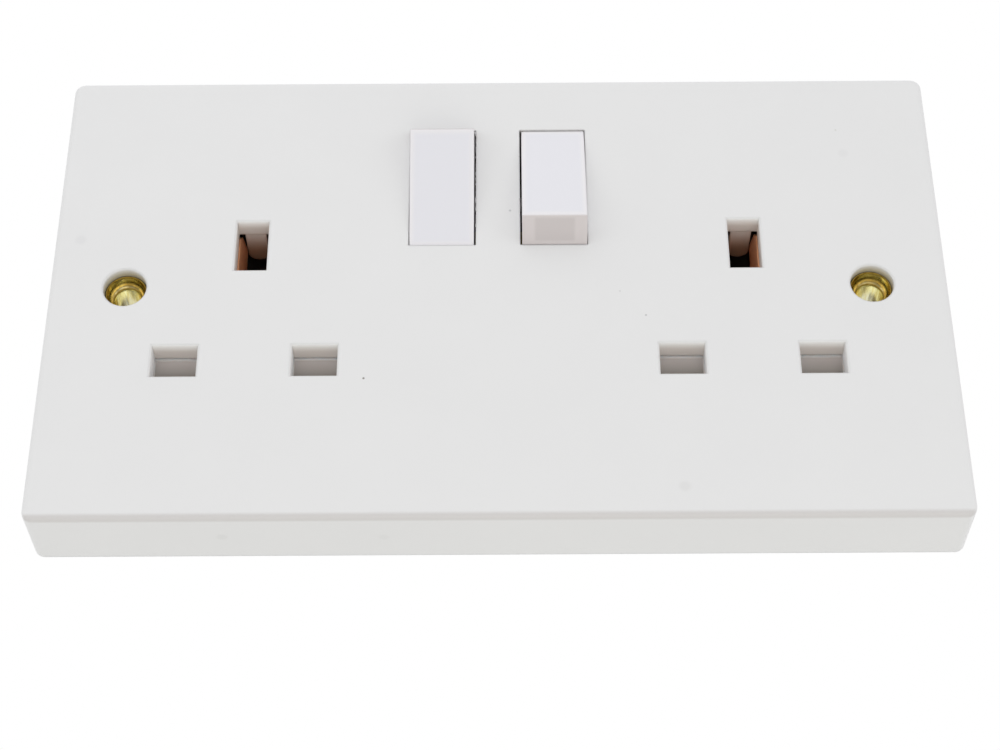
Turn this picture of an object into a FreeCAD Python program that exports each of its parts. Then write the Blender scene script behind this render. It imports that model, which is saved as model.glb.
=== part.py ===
"""UK twin switched socket outlet, 13 A, as it is fixed to a wall.

Frame: X to the right and Z up, seen from the front. The wall is the plane Y = 0,
the room is at -Y and the wiring box at +Y. The origin is midway between the two
fixing holes, on the wall plane. Every size is in millimetres.

Most pieces are placed by their depth behind the front face, because that is how
the moulding is dimensioned: depth 0 is the face, and y = depth - PLATE_DEPTH.
"""

import FreeCAD, Part
import math
import os

from FreeCAD import Vector

# Front plate
PLATE_W = 145.0
PLATE_H = 85.0
PLATE_DEPTH = 12.2
FACE_WALL = 2.4
RIM_WALL = 2.0
CORNER_R = 1.8
FACE_EDGE_R = 0.95
FIXING_INSET = 12.2
FIXING_SPACING = PLATE_W - 2 * FIXING_INSET

# Pins of the plug and the slots that take them
SOCKET_X = 40.25
PIN_PITCH = 22.22
LIVE_Z = -14.1
LIVE_SLOT_W = 7.3
LIVE_SLOT_H = 5.7
LIVE_COLLAR_DEPTH = 3.85
LIVE_PIN_W = 6.35
EARTH_SLOT_W = 5.25
EARTH_SLOT_H = 9.6
EARTH_COLLAR_DEPTH = 3.6
EARTH_TONGUE_DEPTH = 11.0
EARTH_PIN_H = 8.0
SLOT_BEVEL = 0.25
COLLAR_WALL = 1.3

# Fixing holes and the brass eyelets riveted in them
FIXING_HOLE_R = 3.5
FIXING_HOLE_BEVEL = 0.25
EYELET_FRONT_DEPTH = 1.9
EYELET_CUP_DEPTH = 4.2
EYELET_BORE_R = 2.2
EYELET_WALL = 0.5
FIXING_BOSS_W = 10.4

# Rocker switches
ROCKER_X = 9.25
ROCKER_Z = 19.8
ROCKER_W = 10.6
ROCKER_R = 12.8
ROCKER_FACE = 7.2
ROCKER_TILT = 12.0
ROCKER_EDGE_R = 0.25
ROCKER_WALL = 1.2
ROCKER_PIVOT_DEPTH = 5.1
ROCKER_GAP = 0.2
ROCKER_END_GAP = 0.1
OPENING_INSET = 0.1
WELL_BELOW_PIVOT = 2.0
TRUNNION_R = 1.2
TRUNNION_L = 0.9
RUNNING_GAP = 0.05
HOUSING_WALL = 1.2
HOUSING_DEPTH = 8.6

# Plunger and blade behind each rocker
PLUNGER_R = 1.5
PLUNGER_REACH = 7.55
BLADE_W = 5.2
BLADE_T = 0.8
BLADE_HALF_L = 8.6
BLADE_BEND = 4.0
BLADE_TILT = 8.0
BLADE_GAP = 0.25
LUG_L = 1.3
LUG_R = 0.5
TIP_R = 1.6
TIP_T = 0.9
TIP_Z = 7.2
TIP_GAP = 0.3

# Safety shutters
SHUTTER_T = 2.0
SHUTTER_GAP = 0.3
SHUTTER_TRAVEL = 6.2
FLAP_OVER_SLOT = 0.7
FLAP_UNDER_SLOT = 1.1
STEM_W = 6.8
RAMP_W = 3.1
RAMP_REACH = 14.4
RAIL_WALL = 1.2
SHUTTER_SPRING_R = 1.6
SHUTTER_SPRING_L = 12.0
SPRING_WIRE_R = 0.22
COIL_STEPS = 6

# Contacts, bars and terminals
LEAF_T = 0.6
BAR_T = 0.8
BAR_W = 3.5
LINE_BAR_DEPTH = 16.2
NEUTRAL_BAR_DEPTH = 19.8
STRAP_DEPTH = 10.6
STRAP_Z = -6.2
STRAP_W = 4.0
STRAP_BEND_INSET = 14.0
STRAP_END_W = 9.0
STRAP_END_BEVEL = 1.8
CLIP_FRONT_DEPTH = 6.9
CLIP_WEB_GAP = 3.5
EARTH_LEAF_FRONT_DEPTH = 4.0
EARTH_LEAF_ABOVE_PIN = 1.3
EARTH_LEAF_CORNER = 1.1
EARTH_BACK_DEPTH = 14.8
TERMINAL_PITCH = 17.0
TERMINAL_W = 9.0
TERMINAL_BORE_R = 2.3
TERMINAL_BORE_L = 8.0
TERMINAL_BORE_DEPTH = 16.6
TERMINAL_TOP_Z = -22.0
TERMINAL_END_WALL = 1.2
TERMINAL_SIDE_WALL = 2.0
TERMINAL_BEVEL = 0.6
TERMINAL_SCREW_R = 1.95
TERMINAL_SCREW_L = 6.0
SCREW_SLOT_W = 0.9
SCREW_SLOT_D = 0.9

# Rear moulding
BASE_W = 115.0
BASE_H = 66.0
BASE_WAIST_W = 106.4
BASE_WAIST_H = 16.0
BASE_WALL = 1.6
BASE_RIM_DEPTH = 4.6
BASE_REAR_DEPTH = 25.0
BASE_CORNER = 3.0
BASE_BEVEL = 0.8
SWITCH_NOTCH_GAP = 0.25
CABLE_NOTCH_W = 7.0
BAY_DEPTH = 12.0
SEAT_INSET = 1.4

# Screws that hold the rear moulding to the plate
COVER_SCREW_R = 1.45
COVER_HEAD_R = 2.6
COVER_HEAD_T = 2.0
COVER_SCREW_TIP_DEPTH = 8.0
POST_JOINT_DEPTH = 15.0
PLATE_POST_W = 5.6
BASE_POST_W = 7.6
COVER_SCREWS = ((-36.0, 20.0), (32.0, -27.5))

FIT = 0.1
BIG = 400.0

EARTH_Z = LIVE_Z + PIN_PITCH
HOUSING_W = ROCKER_W + 2 * (ROCKER_GAP + HOUSING_WALL)
HOUSING_H = 2 * (ROCKER_R + ROCKER_GAP + HOUSING_WALL)
OPENINGS = (OPENING_INSET - ROCKER_X, ROCKER_X - OPENING_INSET)
BASE_INNER_REAR = BASE_REAR_DEPTH - BASE_WALL
SOCKETS = {"left": -SOCKET_X, "right": SOCKET_X}
SWITCHES = {"left": -ROCKER_X, "right": ROCKER_X}
SHUTTER_FRONT = LIVE_COLLAR_DEPTH + SHUTTER_GAP
SHUTTER_REAR = SHUTTER_FRONT + SHUTTER_T
BLADE_FRONT = ROCKER_PIVOT_DEPTH + PLUNGER_REACH + BLADE_GAP
BLADE_PIVOT_DEPTH = BLADE_FRONT + BLADE_T
TERMINAL_REAR = TERMINAL_BORE_DEPTH + TERMINAL_BORE_R + TERMINAL_SIDE_WALL
TERMINAL_FRONT = TERMINAL_BORE_DEPTH - TERMINAL_BORE_R - TERMINAL_SIDE_WALL
TERMINAL_BOTTOM_Z = TERMINAL_TOP_Z - TERMINAL_END_WALL - TERMINAL_BORE_L


def y_at(depth):
    """The Y of a depth behind the front face."""
    return depth - PLATE_DEPTH


def block(x0, x1, depth0, depth1, z0, z1):
    """A box between two corners, its depths counted from the face."""
    corner = Vector(x0, y_at(depth0), z0)
    return Part.makeBox(x1 - x0, depth1 - depth0, z1 - z0, corner)


def pad(x, z, width, height, depth0, depth1):
    """A box centred on x and z."""
    return block(x - width / 2, x + width / 2, depth0, depth1,
                 z - height / 2, z + height / 2)


def rod(x, z, radius, depth0, depth1):
    """A cylinder that runs straight in from the face."""
    start = Vector(x, y_at(depth0), z)
    return Part.makeCylinder(radius, depth1 - depth0, start, Vector(0, 1, 0))


def bar_along_x(x0, x1, depth, z, radius):
    """A cylinder along X."""
    start = Vector(x0, y_at(depth), z)
    return Part.makeCylinder(radius, x1 - x0, start, Vector(1, 0, 0))


def along_y(edge):
    """Whether an edge runs straight in from the face."""
    box = edge.BoundBox
    return box.YLength > 0.01 and box.XLength < 0.001 and box.ZLength < 0.001


def on_depth(edge, depth):
    """Whether an edge lies flat at one depth."""
    box = edge.BoundBox
    return abs(box.YMin - y_at(depth)) < 0.001 and box.YLength < 0.001


def rounded(solid, radius, wanted):
    """The solid with each edge that passes the test rounded."""
    edges = [edge for edge in solid.Edges if wanted(edge)]
    return solid.makeFillet(radius, edges)


def bevelled(solid, size, wanted):
    """The solid with each edge that passes the test bevelled."""
    edges = [edge for edge in solid.Edges if wanted(edge)]
    return solid.makeChamfer(size, edges)


def side_profile(points, x0, x1):
    """A solid of a side view, given as (depth, z) points, from x0 to x1."""
    corners = [Vector(x0, y_at(depth), z) for depth, z in points]
    face = Part.Face(Part.makePolygon(corners + corners[:1]))
    return face.extrude(Vector(x1 - x0, 0, 0))


def top_profile(points, z0, z1):
    """A solid of a view from above, given as (x, depth) points."""
    corners = [Vector(x, y_at(depth), z0) for x, depth in points]
    face = Part.Face(Part.makePolygon(corners + corners[:1]))
    return face.extrude(Vector(0, 0, z1 - z0))


def front_profile(points, depth0, depth1):
    """A solid of a front view, given as (x, z) points."""
    corners = [Vector(x, y_at(depth0), z) for x, z in points]
    face = Part.Face(Part.makePolygon(corners + corners[:1]))
    return face.extrude(Vector(0, depth1 - depth0, 0))


def turned(points, x, z):
    """A solid of revolution from (radius, depth) points, about a line along Y."""
    corners = [Vector(x + radius, y_at(depth), z) for radius, depth in points]
    face = Part.Face(Part.makePolygon(corners + corners[:1]))
    return face.revolve(Vector(x, 0, z), Vector(0, 1, 0), 360)


def fused(solids):
    """One solid from several that touch or cross."""
    return solids[0].fuse(solids[1:]).removeSplitter()


def tilted(solid, x, depth, z, degrees):
    """The solid turned about an axis along X."""
    result = solid.copy()
    result.rotate(Vector(x, y_at(depth), z), Vector(1, 0, 0), degrees)
    return result


def coil(x, depth, z, radius, length, turns, along):
    """A compression spring from a point, bent in short straight lengths of square wire."""
    rise = length - 2 * SPRING_WIRE_R
    steps = int(turns * COIL_STEPS)
    across = Vector(1, 0, 0)
    other = along.cross(across)
    start = Vector(x, y_at(depth), z) + along * SPRING_WIRE_R
    points = []
    for step in range(steps + 1):
        angle = 2 * math.pi * step / COIL_STEPS
        around = across * math.cos(angle) + other * math.sin(angle)
        points.append(start + around * radius + along * (rise * step / steps))
    section = []
    for corner in range(5):
        angle = math.pi * corner / 2
        section.append(points[0] + across * (SPRING_WIRE_R * math.cos(angle))
                       + along * (SPRING_WIRE_R * math.sin(angle)))
    path = Part.makePolygon(points)
    return path.makePipeShell([Part.makePolygon(section)], True, False, 1)


# Front plate

def plate_shell():
    """The white shell: a flat face with a rim that stands on the wall."""
    outer = rounded(pad(0, 0, PLATE_W, PLATE_H, 0, PLATE_DEPTH), CORNER_R, along_y)
    outer = rounded(outer, FACE_EDGE_R, lambda edge: on_depth(edge, 0))
    hollow = pad(0, 0, PLATE_W - 2 * RIM_WALL, PLATE_H - 2 * RIM_WALL, FACE_WALL, PLATE_DEPTH + 1)
    return outer.cut(hollow)


def slot_shaft(x, z, width, height, depth):
    """What a slot takes out of the moulding."""
    return pad(x, z, width, height, -1, depth)


def slotted(shell):
    """The shell with its six slots cut, and the mouth of each slot bevelled."""
    shafts = [slot_shaft(x, LIVE_Z, LIVE_SLOT_W, LIVE_SLOT_H, FACE_WALL + 1) for x in live_slots()]
    for x in SOCKETS.values():
        shafts.append(slot_shaft(x, EARTH_Z, EARTH_SLOT_W, EARTH_SLOT_H, FACE_WALL + 1))
    centres = [(x, LIVE_Z) for x in live_slots()] + [(x, EARTH_Z) for x in SOCKETS.values()]
    reach = EARTH_SLOT_H / 2 + 0.01

    def at_mouth(edge):
        box = edge.BoundBox
        near = [abs(box.Center.x - x) <= reach and abs(box.Center.z - z) <= reach for x, z in centres]
        return on_depth(edge, 0) and any(near)

    return bevelled(shell.cut(shafts), SLOT_BEVEL, at_mouth)


def live_slots():
    """The X of all four line and neutral slots."""
    return [x + side * PIN_PITCH / 2 for x in SOCKETS.values() for side in (-1, 1)]


def collar(x, z, width, height, depth):
    """The guide collar moulded behind a slot."""
    outside = pad(x, z, width + 2 * COLLAR_WALL, height + 2 * COLLAR_WALL, FACE_WALL, depth)
    return outside.cut(slot_shaft(x, z, width, height, depth + 1))


def slot_collars():
    """Every collar, with the tongue that runs on over each earth pin."""
    collars = [collar(x, LIVE_Z, LIVE_SLOT_W, LIVE_SLOT_H, LIVE_COLLAR_DEPTH) for x in live_slots()]
    for x in SOCKETS.values():
        collars.append(collar(x, EARTH_Z, EARTH_SLOT_W, EARTH_SLOT_H, EARTH_COLLAR_DEPTH))
        collars.append(earth_tongue(x))
    return collars


def earth_tongue(x):
    """A round-ended tongue that carries on from the top wall of an earth slot."""
    half = EARTH_SLOT_W / 2 - 0.9
    z0 = EARTH_Z + EARTH_SLOT_H / 2 + 0.15
    z1 = EARTH_Z + EARTH_SLOT_H / 2 + COLLAR_WALL
    straight = block(x - half, x + half, FACE_WALL, EARTH_TONGUE_DEPTH - half, z0, z1)
    end = Part.makeCylinder(half, z1 - z0, Vector(x, y_at(EARTH_TONGUE_DEPTH - half), z0))
    return straight.fuse(end)


def switch_housing(x):
    """The open box moulded round a rocker, which carries its trunnions."""
    return pad(x, ROCKER_Z, HOUSING_W, HOUSING_H, FACE_WALL, HOUSING_DEPTH)


def rocker_opening(x):
    """What a rocker needs out of the plate: a drum about its axis, and its bearings."""
    half_w = ROCKER_W / 2 + ROCKER_GAP
    drum_r = ROCKER_R + ROCKER_END_GAP
    drum = bar_along_x(x - half_w, x + half_w, ROCKER_PIVOT_DEPTH, ROCKER_Z, drum_r)
    behind = block(x - half_w, x + half_w, ROCKER_PIVOT_DEPTH, HOUSING_DEPTH + 1,
                   ROCKER_Z - drum_r, ROCKER_Z + drum_r)
    front_half = block(x - half_w, x + half_w, -BIG, ROCKER_PIVOT_DEPTH,
                       ROCKER_Z - drum_r, ROCKER_Z + drum_r)
    bearing_half = half_w + HOUSING_WALL + 1
    bearing = bar_along_x(x - bearing_half, x + bearing_half, ROCKER_PIVOT_DEPTH, ROCKER_Z,
                          TRUNNION_R + RUNNING_GAP)
    return [drum.common(front_half), behind, bearing]


def shutter_rails(x):
    """Two hooked rails that guide the stem of a shutter up and down."""
    rails = []
    z0 = LIVE_Z + LIVE_SLOT_H / 2 + FLAP_OVER_SLOT + 1.0
    z1 = EARTH_Z - EARTH_SLOT_H / 2 - COLLAR_WALL
    lip = SHUTTER_REAR + SHUTTER_GAP
    inner = STEM_W / 2 + SHUTTER_GAP
    for side in (-1, 1):
        edges = sorted((x + side * inner, x + side * (inner + RAIL_WALL)))
        rails.append(block(edges[0], edges[1], FACE_WALL, lip, z0, z1))
        hook = sorted((x + side * (inner - 1.0), x + side * (inner + RAIL_WALL)))
        rails.append(block(hook[0], hook[1], lip, lip + 0.8, z0, z1))
    return rails


def spring_ledge(x):
    """The ledge that the foot of a shutter's spring stands on."""
    top = spring_foot_z()
    return block(x - 3.0, x + 3.0, FACE_WALL, SHUTTER_REAR + 1.0, top - 1.2, top)


def spring_foot_z():
    """The height of the foot of a shutter's spring."""
    return LIVE_Z - LIVE_SLOT_H / 2 - FLAP_UNDER_SLOT - SHUTTER_SPRING_L


def fixing_cutter(x):
    """The stepped hole that an eyelet is riveted in, bevelled at its mouth."""
    bevel = FIXING_HOLE_BEVEL
    start = Vector(x, y_at(0), 0)
    mouth = Part.makeCone(FIXING_HOLE_R + bevel, FIXING_HOLE_R, bevel, start, Vector(0, 1, 0))
    return [rod(x, 0, FIXING_HOLE_R, -1, EYELET_CUP_DEPTH), mouth,
            rod(x, 0, EYELET_BORE_R + EYELET_WALL + RUNNING_GAP, 0, PLATE_DEPTH)]


def front_plate():
    """The white moulding that shows: face, rim and everything moulded behind it."""
    added = slot_collars()
    cutters = []
    for x in OPENINGS:
        added.append(switch_housing(x))
        cutters += rocker_opening(x)
    for x in SOCKETS.values():
        added += shutter_rails(x)
        added.append(spring_ledge(x))
    for x, z in COVER_SCREWS:
        added.append(pad(x, z, PLATE_POST_W, PLATE_POST_W, FACE_WALL, POST_JOINT_DEPTH))
        cutters.append(rod(x, z, COVER_SCREW_R + FIT, COVER_SCREW_TIP_DEPTH - 1, POST_JOINT_DEPTH + 1))
    for x in (-FIXING_SPACING / 2, FIXING_SPACING / 2):
        added.append(pad(x, 0, FIXING_BOSS_W, FIXING_BOSS_W, FACE_WALL, STRAP_DEPTH))
        cutters += fixing_cutter(x)
    return slotted(plate_shell()).fuse(added).cut(cutters).removeSplitter()


# Fixing eyelets and earth

def eyelet(x):
    """A brass eyelet: a cup in front, and a tube that runs through the strap to the wall."""
    tube_r = EYELET_BORE_R + EYELET_WALL
    cup_r = FIXING_HOLE_R - FIT
    front = EYELET_FRONT_DEPTH
    cup = EYELET_CUP_DEPTH
    section = [(cup_r, front), (cup_r, cup), (tube_r, cup), (tube_r, PLATE_DEPTH),
               (EYELET_BORE_R, PLATE_DEPTH), (EYELET_BORE_R, cup - EYELET_WALL)]
    return turned(section, x, 0)


def earth_strap():
    """The stamped brass strap that joins both eyelets, both earth contacts and the terminal."""
    ring_x = FIXING_SPACING / 2
    half = STRAP_W / 2
    bend = ring_x - STRAP_BEND_INSET
    outline = [(-ring_x, half), (-ring_x, -half), (-bend - 3.5, -half), (-bend, STRAP_Z - half),
               (bend, STRAP_Z - half), (bend + 3.5, -half), (ring_x, -half), (ring_x, half),
               (bend + 3.0, half), (bend - 1.0, STRAP_Z + half), (1 - bend, STRAP_Z + half),
               (-bend - 3.0, half)]
    rear = STRAP_DEPTH + BAR_T
    strap = [front_profile(outline, STRAP_DEPTH, rear)]
    strap.append(block(-2.5, 2.5, STRAP_DEPTH, rear, TERMINAL_TOP_Z - 4.0, STRAP_Z))
    for x in (-ring_x, ring_x):
        end = pad(x, 0, STRAP_END_W, STRAP_END_W, STRAP_DEPTH, rear)
        strap.append(bevelled(end, STRAP_END_BEVEL, along_y))
    holes = [rod(x, 0, EYELET_BORE_R + EYELET_WALL + RUNNING_GAP, 0, BASE_REAR_DEPTH)
             for x in (-ring_x, ring_x)]
    return fused(strap).cut(holes)


def earth_contact(x):
    """A folded copper clip: two sprung leaves beside the earth pin, on a back plate."""
    mouth = 2.45
    pinch = 1.85
    leg = CLIP_WEB_GAP
    corner = EARTH_LEAF_CORNER
    rear = EARTH_BACK_DEPTH + BAR_T
    z0 = EARTH_Z - EARTH_PIN_H / 2
    z1 = EARTH_Z + EARTH_PIN_H / 2 + EARTH_LEAF_ABOVE_PIN
    low = STRAP_Z - STRAP_W / 2
    front = EARTH_LEAF_FRONT_DEPTH
    side_view = [(front, z0 + corner), (front, z1 - corner), (front + corner, z1), (rear, z1),
                 (rear, z0), (front + corner, z0)]
    parts = [block(x - leg - LEAF_T, x + leg + LEAF_T, EARTH_BACK_DEPTH, rear, low, z0 - 1.0)]
    for side in (-1, 1):
        path = [(mouth, front), (pinch, 8.0), (pinch, 9.5), (leg, 12.5), (leg, rear)]
        outline = [(x + side * a, depth) for a, depth in path]
        outline += [(x + side * (a + LEAF_T), depth) for a, depth in reversed(path)]
        leaf = top_profile(outline, z0, z1)
        parts.append(leaf.common(side_profile(side_view, x - BIG, x + BIG)))
        edges = sorted((x + side * leg, x + side * (leg + LEAF_T)))
        parts.append(block(edges[0], edges[1], 12.5, rear, low, z0))
        parts.append(block(edges[0], edges[1], STRAP_DEPTH + BAR_T, rear, low, low + STRAP_W))
    return fused(parts)


# Line and neutral

def pin_clip(x, side, foot_depth):
    """Sprung leaves above and below a line or neutral pin, joined by a web at one side."""
    half_w = LIVE_PIN_W / 2
    leg = CLIP_WEB_GAP
    path = [(CLIP_FRONT_DEPTH, 2.9), (10.5, 1.85), (11.8, 1.85), (LINE_BAR_DEPTH, 2.9)]
    web = sorted((x + side * leg, x + side * (leg + LEAF_T)))
    span = sorted((x - side * half_w, x + side * (leg + LEAF_T)))
    parts = []
    for up in (-1, 1):
        outline = [(depth, LIVE_Z + up * z) for depth, z in path]
        outline += [(depth, LIVE_Z + up * (z + LEAF_T)) for depth, z in reversed(path)]
        parts.append(side_profile(outline, span[0], span[1]))
    half_h = 2.9 + LEAF_T
    parts.append(block(web[0], web[1], 13.0, foot_depth, LIVE_Z - half_h, LIVE_Z + half_h))
    return parts


def strip(x0, x1, z0, z1, depth):
    """A flat length of bar, given by two corners of its front view."""
    return block(min(x0, x1), max(x0, x1), depth, depth + BAR_T, min(z0, z1), max(z0, z1))


def fixed_tip(x):
    """The silver-faced stud that a switch blade closes on."""
    lift = math.sin(math.radians(BLADE_TILT - BLADE_BEND)) * TIP_Z
    front = BLADE_PIVOT_DEPTH + lift + TIP_T + TIP_GAP
    return rod(x, ROCKER_Z + TIP_Z, TIP_R, front, LINE_BAR_DEPTH)


def line_contact(name):
    """The switched line bar of one socket: a stud under the switch, and the pin clip."""
    switch_x = SWITCHES[name]
    pin_x = SOCKETS[name] + PIN_PITCH / 2
    side = 1 if name == "left" else -1
    web_x = pin_x + side * CLIP_WEB_GAP
    top = ROCKER_Z + TIP_Z
    run = 2.8
    down = sorted((web_x, web_x + side * run))
    parts = pin_clip(pin_x, side, LINE_BAR_DEPTH + BAR_T)
    parts.append(strip(down[0], down[1], LIVE_Z - 3.5, top + BAR_W / 2, LINE_BAR_DEPTH))
    toward = down[1] if name == "left" else down[0]
    end = switch_x + 2.2 if name == "left" else switch_x - 2.2
    parts.append(strip(toward, end, top - BAR_W / 2, top + BAR_W / 2, LINE_BAR_DEPTH))
    parts.append(fixed_tip(switch_x))
    return fused(parts)


def blade_ears(x):
    """Two notched ears of the supply bar, which carry a switch blade by its lugs."""
    seat = BLADE_PIVOT_DEPTH + LUG_R + FIT
    ears = []
    for side in (-1, 1):
        inner = BLADE_W / 2 + 0.3
        edges = sorted((x + side * inner, x + side * (inner + BAR_T)))
        outline = [(LINE_BAR_DEPTH, ROCKER_Z - 2.4), (BLADE_FRONT - 0.4, ROCKER_Z - 2.4),
                   (seat, ROCKER_Z - LUG_R - FIT), (seat, ROCKER_Z + LUG_R + FIT),
                   (BLADE_FRONT - 0.4, ROCKER_Z + 2.4), (LINE_BAR_DEPTH, ROCKER_Z + 2.4)]
        ears.append(side_profile(outline, edges[0], edges[1]))
    return ears


def line_supply_bar():
    """The live bar from the line terminal up to the pivots of both switch blades."""
    end = ROCKER_X + BLADE_W / 2 + 0.3 + BAR_T
    parts = [strip(-TERMINAL_PITCH - BAR_W / 2, -TERMINAL_PITCH + BAR_W / 2,
                   TERMINAL_TOP_Z, ROCKER_Z + 2.4, LINE_BAR_DEPTH)]
    parts.append(strip(-TERMINAL_PITCH, end, ROCKER_Z - 2.4, ROCKER_Z + 2.4, LINE_BAR_DEPTH))
    for x in SWITCHES.values():
        parts += blade_ears(x)
    return fused(parts)


def neutral_bar():
    """The neutral bar with the pin clips of both sockets."""
    left = -SOCKET_X - PIN_PITCH / 2
    right = SOCKET_X - PIN_PITCH / 2
    foot = NEUTRAL_BAR_DEPTH + BAR_T
    parts = pin_clip(left, 1, foot) + pin_clip(right, -1, foot)
    parts.append(strip(left + CLIP_WEB_GAP, right - CLIP_WEB_GAP, LIVE_Z - BAR_W / 2,
                       LIVE_Z + BAR_W / 2, NEUTRAL_BAR_DEPTH))
    parts.append(strip(TERMINAL_PITCH - BAR_W / 2, TERMINAL_PITCH + BAR_W / 2,
                       TERMINAL_TOP_Z, LIVE_Z, NEUTRAL_BAR_DEPTH))
    return fused(parts)


# Terminals

def terminal(x, front):
    """A brass pillar terminal: a blind bore for the cores, crossed by a screw hole."""
    body = bevelled(block(x - TERMINAL_W / 2, x + TERMINAL_W / 2, front, TERMINAL_REAR,
                          TERMINAL_BOTTOM_Z, TERMINAL_TOP_Z), TERMINAL_BEVEL, along_y)
    mouth = Vector(x, y_at(TERMINAL_BORE_DEPTH), TERMINAL_BOTTOM_Z)
    bore = Part.makeCylinder(TERMINAL_BORE_R, TERMINAL_BORE_L, mouth)
    hole = rod(x, terminal_screw_z(), TERMINAL_SCREW_R + RUNNING_GAP,
               TERMINAL_BORE_DEPTH, TERMINAL_REAR + 1)
    return body.cut([bore, hole])


def terminal_screw_z():
    """The height of the terminal screws, midway along the bores."""
    return TERMINAL_BOTTOM_Z + TERMINAL_BORE_L / 2


def slotted_rod(x, z, radius, depth0, depth1):
    """A rod with a screwdriver slot in its rear end."""
    slot = pad(x, z, BIG, SCREW_SLOT_W, depth1 - SCREW_SLOT_D, depth1 + 1)
    return rod(x, z, radius, depth0, depth1).cut(slot)


def terminal_screw(x):
    """A headless terminal screw, backed out so that the bore is clear."""
    tip = TERMINAL_BORE_DEPTH + TERMINAL_BORE_R + 2 * RUNNING_GAP
    return slotted_rod(x, terminal_screw_z(), TERMINAL_SCREW_R, tip, tip + TERMINAL_SCREW_L)


# Switches

def rocker(x, degrees):
    """A hollow rocker with its trunnions and the well of its plunger, tilted to a side."""
    half_w = ROCKER_W / 2
    face_depth = ROCKER_PIVOT_DEPTH - ROCKER_FACE
    skirt = ROCKER_PIVOT_DEPTH - 0.6
    half_l = math.sqrt(ROCKER_R ** 2 - ROCKER_FACE ** 2)
    drum = bar_along_x(x - half_w, x + half_w, ROCKER_PIVOT_DEPTH, ROCKER_Z, ROCKER_R)
    body = drum.common(block(x - half_w, x + half_w, face_depth, skirt,
                             ROCKER_Z - ROCKER_R, ROCKER_Z + ROCKER_R))
    body = body.makeFillet(ROCKER_EDGE_R, [edge for edge in body.Edges if on_depth(edge, face_depth)])
    inner_w = half_w - ROCKER_WALL
    inner = bar_along_x(x - inner_w, x + inner_w, ROCKER_PIVOT_DEPTH, ROCKER_Z, ROCKER_R - ROCKER_WALL)
    inner = inner.common(block(x - inner_w, x + inner_w, face_depth + ROCKER_WALL, ROCKER_PIVOT_DEPTH,
                               ROCKER_Z - half_l - ROCKER_WALL, ROCKER_Z + half_l + ROCKER_WALL))
    parts = [body.cut(inner)]
    ear_r = 1.8 * TRUNNION_R
    for side in (-1, 1):
        edges = sorted((x + side * inner_w, x + side * half_w))
        parts.append(block(edges[0], edges[1], skirt - 1, ROCKER_PIVOT_DEPTH + ear_r,
                           ROCKER_Z - ear_r, ROCKER_Z + ear_r))
        pin = sorted((x + side * half_w, x + side * (half_w + TRUNNION_L)))
        parts.append(bar_along_x(pin[0], pin[1], ROCKER_PIVOT_DEPTH, ROCKER_Z, TRUNNION_R))
    well_w = 2 * (PLUNGER_R + ROCKER_WALL)
    parts.append(pad(x, ROCKER_Z, well_w, well_w, face_depth + ROCKER_WALL / 2,
                     ROCKER_PIVOT_DEPTH + WELL_BELOW_PIVOT))
    well = rod(x, ROCKER_Z, PLUNGER_R + RUNNING_GAP, face_depth + 2 * ROCKER_WALL, ROCKER_PIVOT_DEPTH + 3)
    return tilted(fused(parts).cut(well), x, ROCKER_PIVOT_DEPTH, ROCKER_Z, degrees)


def plunger_top():
    """The depth of the inner end of a plunger when its rocker stands level."""
    return ROCKER_PIVOT_DEPTH - 0.4


def plunger(x, degrees):
    """The flat-nosed plunger that a rocker pushes the blade with."""
    shaft = rod(x, ROCKER_Z, PLUNGER_R, plunger_top(), ROCKER_PIVOT_DEPTH + PLUNGER_REACH)
    return tilted(shaft, x, ROCKER_PIVOT_DEPTH, ROCKER_Z, degrees)


def switch_spring(x, degrees):
    """The small spring between a rocker and its plunger."""
    start = ROCKER_PIVOT_DEPTH - ROCKER_FACE + 2 * ROCKER_WALL
    length = plunger_top() - start
    spring = coil(x, start, ROCKER_Z, PLUNGER_R - SPRING_WIRE_R - RUNNING_GAP, length, 4,
                  Vector(0, 1, 0))
    return tilted(spring, x, ROCKER_PIVOT_DEPTH, ROCKER_Z, degrees)


def switch_blade(x, degrees):
    """A copper blade bent a little at its middle, with side lugs and a silver-faced stud."""
    rise = math.tan(math.radians(BLADE_BEND)) * BLADE_HALF_L
    front = BLADE_FRONT
    rear = front + BLADE_T
    low = ROCKER_Z - BLADE_HALF_L
    high = ROCKER_Z + BLADE_HALF_L
    outline = [(front - rise, low), (front, ROCKER_Z), (front - rise, high), (rear - rise, high),
               (rear, ROCKER_Z), (rear - rise, low)]
    parts = [side_profile(outline, x - BLADE_W / 2, x + BLADE_W / 2)]
    lug = BLADE_W / 2 + LUG_L
    parts.append(bar_along_x(x - lug, x + lug, BLADE_PIVOT_DEPTH, ROCKER_Z, LUG_R))
    stud = rod(x, ROCKER_Z + TIP_Z, TIP_R, front - TIP_Z * rise / BLADE_HALF_L + BLADE_T / 2,
               rear - TIP_Z * rise / BLADE_HALF_L + TIP_T)
    parts.append(stud)
    return tilted(fused(parts), x, BLADE_PIVOT_DEPTH, ROCKER_Z, degrees)


# Shutters

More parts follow.
